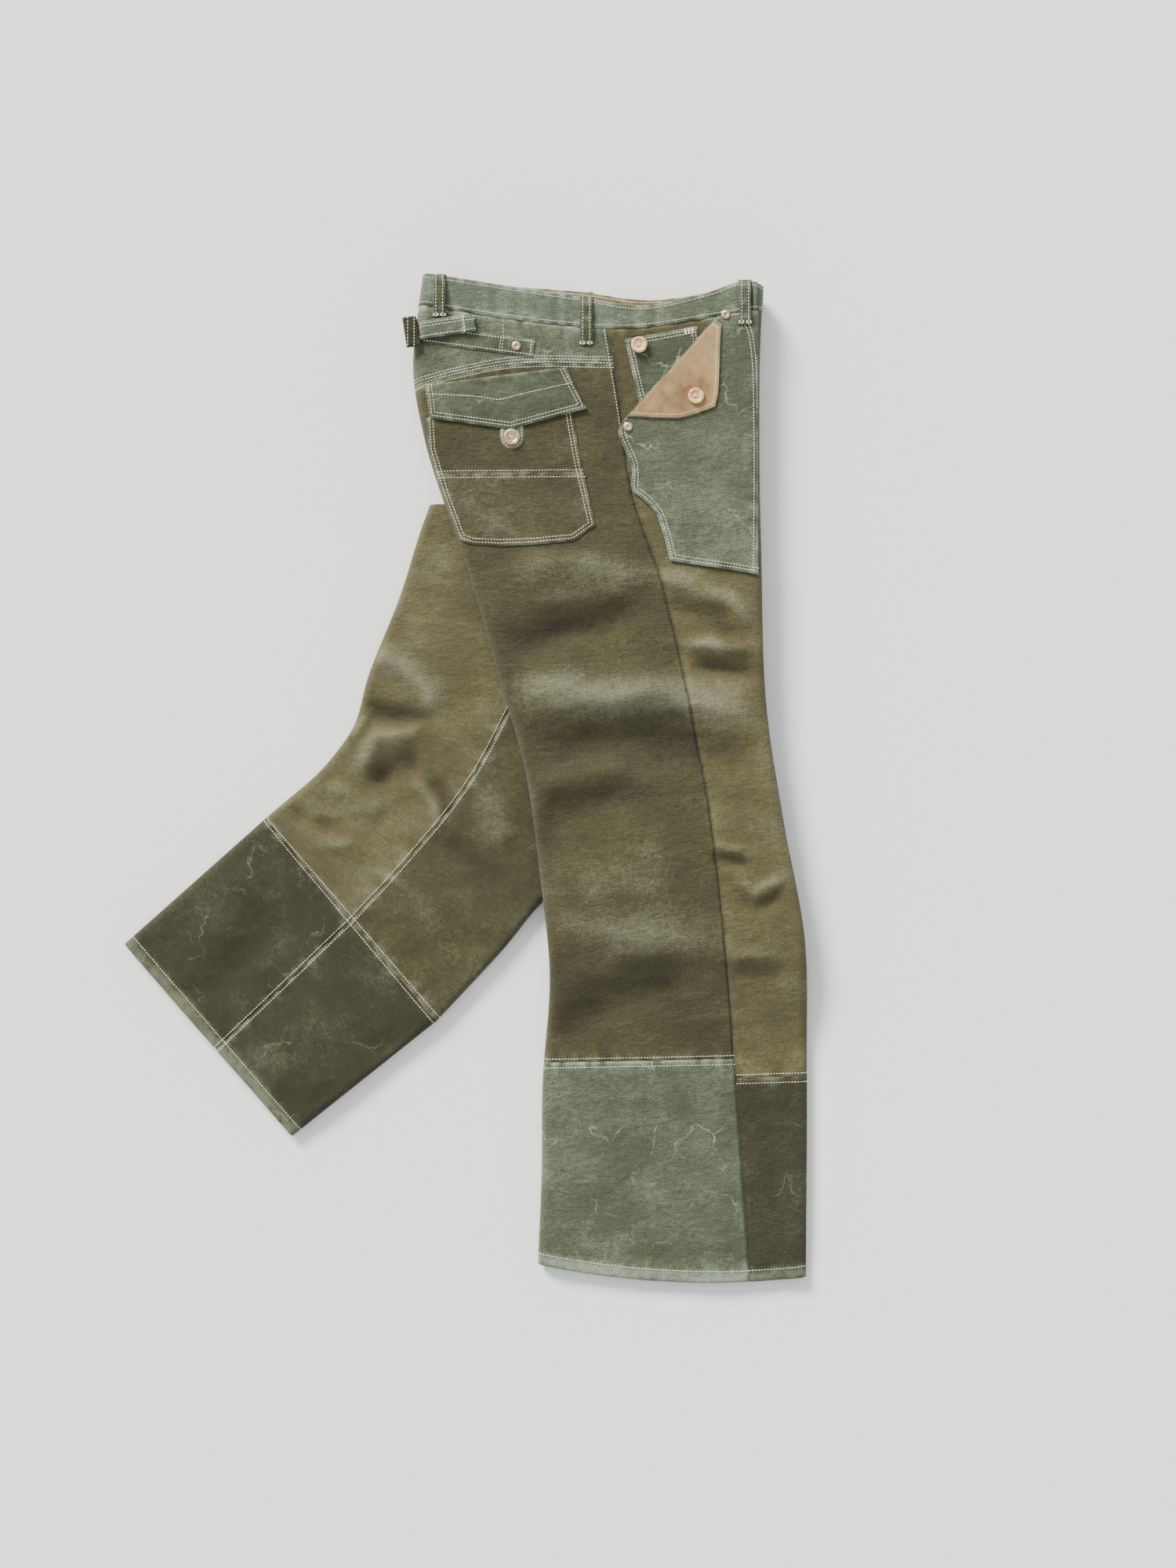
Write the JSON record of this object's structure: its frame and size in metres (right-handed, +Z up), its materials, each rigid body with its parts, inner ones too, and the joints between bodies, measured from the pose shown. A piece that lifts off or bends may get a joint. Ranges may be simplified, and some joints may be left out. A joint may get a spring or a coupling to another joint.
{
  "type": "work trousers",
  "caption": "Wide-leg duck canvas work trousers with a cinch back, lying on one side with a leg swung back; pocket flaps, cinch tail and leg move.",
  "frame": {"origin": "middle of the trousers' box as they lie, on the floor", "axes": "+Y from the hems to the waistband, +X from the seat to the fly, +Z up from the floor"},
  "size_m": [0.7479, 1.0997, 0.044],
  "materials": {
    "canvas": "plain weave duck canvas, dark olive, worn",
    "faded_canvas": "duck canvas, faded grey-green, with pale crease lines",
    "cuff_canvas": "duck canvas, darker olive",
    "band_canvas": "duck canvas, pale grey-green, ribbed",
    "twill": "tan cotton twill",
    "horn": "polished horn, tan",
    "brass": "dull brass",
    "copper": "dull copper",
    "dark_metal": "blackened steel"
  },
  "bodies": {
    "root": {"right_yoke": "faded_canvas", "left_yoke": "faded_canvas", "right_back_panel": "canvas", "right_front_panel": "canvas", "left_back_panel": "canvas", "left_front_panel": "canvas", "right_back_cuff": "faded_canvas", "right_front_cuff": "cuff_canvas", "waistband": "band_canvas", "waistband_lining": "twill", "right_cinch_strap": "faded_canvas", "left_cinch_strap": "faded_canvas", "cinch_buckle": "dark_metal", "right_cinch_rivet": "copper", "left_cinch_rivet": "copper", "fly_facing": "canvas", "fly_shield": "canvas", "fly_button_1": "horn", "fly_button_2": "horn", "fly_button_3": "horn", "waist_button": "horn", "right_back_loop": "band_canvas", "right_side_loop": "band_canvas", "right_front_loop": "band_canvas", "right_back_pocket": "canvas", "right_back_button": "brass", "right_coin_pocket": "faded_canvas", "right_front_patch": "faded_canvas", "right_hold_button": "horn", "right_closing_button": "horn", "right_waist_rivet": "copper", "right_side_rivet": "copper", "left_back_loop": "band_canvas", "left_side_loop": "band_canvas", "left_front_loop": "band_canvas", "left_back_pocket": "canvas", "left_back_button": "brass", "left_coin_pocket": "faded_canvas", "left_front_patch": "faded_canvas", "left_hold_button": "horn", "left_closing_button": "horn", "left_waist_rivet": "copper", "left_side_rivet": "copper"},
    "right_back_flap": {"right_back_flap": "faded_canvas", "right_flap_tab": "band_canvas"},
    "left_back_flap": {"left_back_flap": "faded_canvas", "left_flap_tab": "band_canvas"},
    "right_corner_flap": {"right_corner_flap": "faded_canvas", "right_corner_lining": "twill"},
    "left_corner_flap": {"left_corner_flap": "faded_canvas", "left_corner_lining": "twill"},
    "cinch_tail": {"cinch_tail": "band_canvas"},
    "left_leg": {"left_back_leg": "canvas", "left_front_leg": "canvas", "left_back_cuff": "cuff_canvas", "left_front_cuff": "cuff_canvas"}
  },
  "joints": [
    {"name": "left_leg_swing", "type": "hinge", "parent": "root", "child": "left_leg", "pos_m": [0.13, 0.4, 0.014], "axis": [0, 0, -1], "range_deg": [0, 15]},
    {"name": "right_back_flap_hinge", "type": "hinge", "parent": "root", "child": "right_back_flap", "pos_m": [-0.042, 0.427, 0.0419], "axis": [-0.9923, -0.124, 0], "range_deg": [0, 150]},
    {"name": "left_back_flap_hinge", "type": "hinge", "parent": "root", "child": "left_back_flap", "pos_m": [-0.042, 0.427, 0.0021], "axis": [0.9923, 0.124, 0], "range_deg": [0, 150]},
    {"name": "right_corner_flap_hinge", "type": "hinge", "parent": "root", "child": "right_corner_flap", "pos_m": [0.229, 0.4525, 0.0409], "axis": [-0.6702, -0.7422, 0], "range_deg": [0, 180]},
    {"name": "left_corner_flap_hinge", "type": "hinge", "parent": "root", "child": "left_corner_flap", "pos_m": [0.229, 0.4525, 0.0031], "axis": [-0.6702, -0.7422, 0], "range_deg": [0, 180]},
    {"name": "cinch_tail_hinge", "type": "hinge", "parent": "root", "child": "cinch_tail", "pos_m": [-0.049, 0.486, 0.0417], "axis": [0.1483, -0.9889, 0], "range_deg": [0, 120]}
  ]
}
